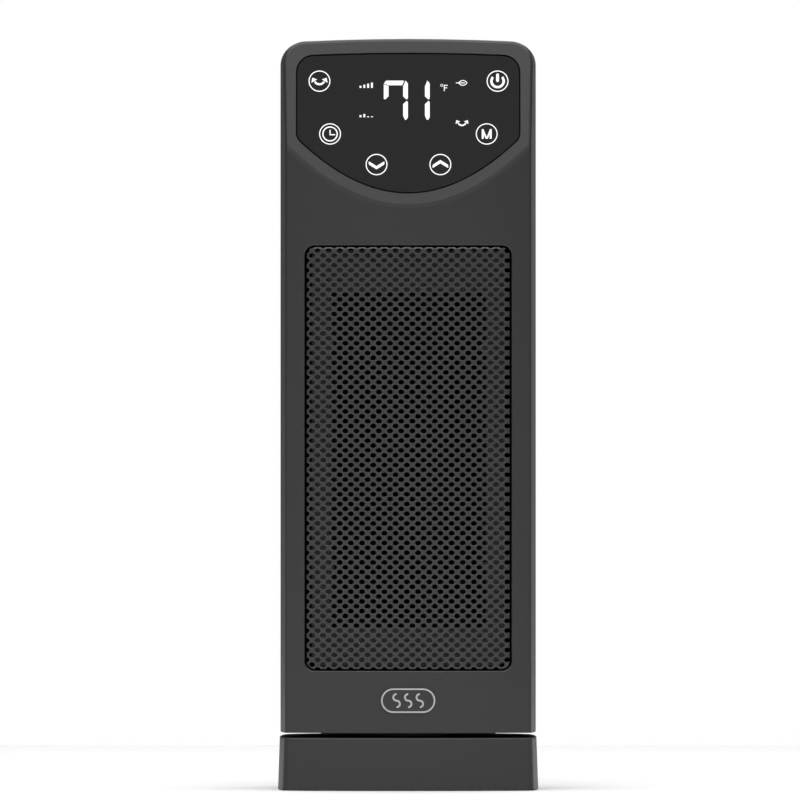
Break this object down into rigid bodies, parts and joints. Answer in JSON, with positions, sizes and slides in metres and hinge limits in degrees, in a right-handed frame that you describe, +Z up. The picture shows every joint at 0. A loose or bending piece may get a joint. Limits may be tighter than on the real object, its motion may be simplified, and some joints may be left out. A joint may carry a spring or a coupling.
{
  "type": "ceramic tower space heater",
  "caption": "Upright oscillating ceramic heater: tall tower with a leaning touch panel and perforated outlet grille, turning on a flat base.",
  "frame": {"origin": "on the floor, at the centre of the base and on the turning axis", "axes": "+Z up, the outlet grille faces -Y, the intake faces +Y"},
  "size_m": [0.1918, 0.1816, 0.5517],
  "materials": {
    "housing_plastic": "fine moulded texture, near black",
    "inner_plastic": "black, heat resistant",
    "lens_plastic": "polished smoked acrylic",
    "white_plastic": "natural acetal",
    "badge_metal": "satin",
    "soft_rubber": "matt",
    "steel": "zinc plated",
    "fin_aluminium": "plain",
    "ptc_ceramic": "ceramic stones in aluminium tubes",
    "circuit_board": "green solder mask",
    "component_plastic": "moulded cases",
    "filter_mesh": "nylon mesh in a frame",
    "cable_pvc": "PVC sleeve"
  },
  "bodies": {
    "base": {"base_cover": "housing_plastic", "base_plate": "inner_plastic", "base_screws": "steel", "rubber_feet": "soft_rubber", "pivot_bush": "white_plastic", "slide_ring": "white_plastic", "oscillation_motor": "steel", "motor_screws": "steel", "tip_switch": "inner_plastic", "cord_gland": "soft_rubber", "terminal_block": "white_plastic"},
    "tower": {"turntable": "inner_plastic", "sector_gear": "white_plastic", "pivot_circlip": "steel", "tower_floor": "inner_plastic", "floor_screws": "steel", "front_housing": "housing_plastic", "rear_housing": "housing_plastic", "housing_screws": "steel", "outlet_grille": "housing_plastic", "badge": "badge_metal", "control_lens": "lens_plastic", "display_board": "circuit_board", "display_module": "component_plastic", "touch_pads": "soft_rubber", "duct_frame": "inner_plastic", "heater_frame": "inner_plastic", "ptc_elements": "ptc_ceramic", "heater_fins": "fin_aluminium", "heater_clips": "steel", "thermal_cutoff": "steel", "room_sensor": "white_plastic", "fan_scroll": "inner_plastic", "lower_bush": "white_plastic", "motor_mounts": "soft_rubber", "fan_motor": "steel", "power_board": "circuit_board", "power_components": "component_plastic", "tower_harness": "cable_pvc"},
    "pinion": {"drive_pinion": "white_plastic", "motor_shaft": "steel"},
    "plunger": {"tip_plunger": "white_plastic"},
    "fan": {"fan_impeller": "inner_plastic", "impeller_shaft": "steel"},
    "intake_cover": {"intake_grille": "housing_plastic", "air_filter": "filter_mesh"}
  },
  "joints": [
    {"name": "oscillation", "type": "hinge", "parent": "base", "child": "tower", "pos_m": [0, 0, 0.03], "axis": [0, 0, 1], "range_deg": [-35, 35]},
    {"name": "drive_spin", "type": "hinge", "parent": "base", "child": "pinion", "pos_m": [0, 0.036, 0.027], "axis": [0, 0, 1], "range_deg": [-180, 180]},
    {"name": "tip_plunger_slide", "type": "slide", "parent": "base", "child": "plunger", "axis": [0, 0, -1], "range_m": [0, 0.003], "stiffness_N_per_m": 200, "springref_m": 0.003},
    {"name": "impeller_spin", "type": "hinge", "parent": "tower", "child": "fan", "pos_m": [0, 0.012, 0.24], "axis": [0, 0, 1], "continuous": true},
    {"name": "cover_pull", "type": "slide", "parent": "tower", "child": "intake_cover", "axis": [0, 1, 0], "range_m": [0, 0.06]}
  ],
  "couplings": [
    {"joint": "drive_spin", "follows": "oscillation", "ratio": -5}
  ]
}
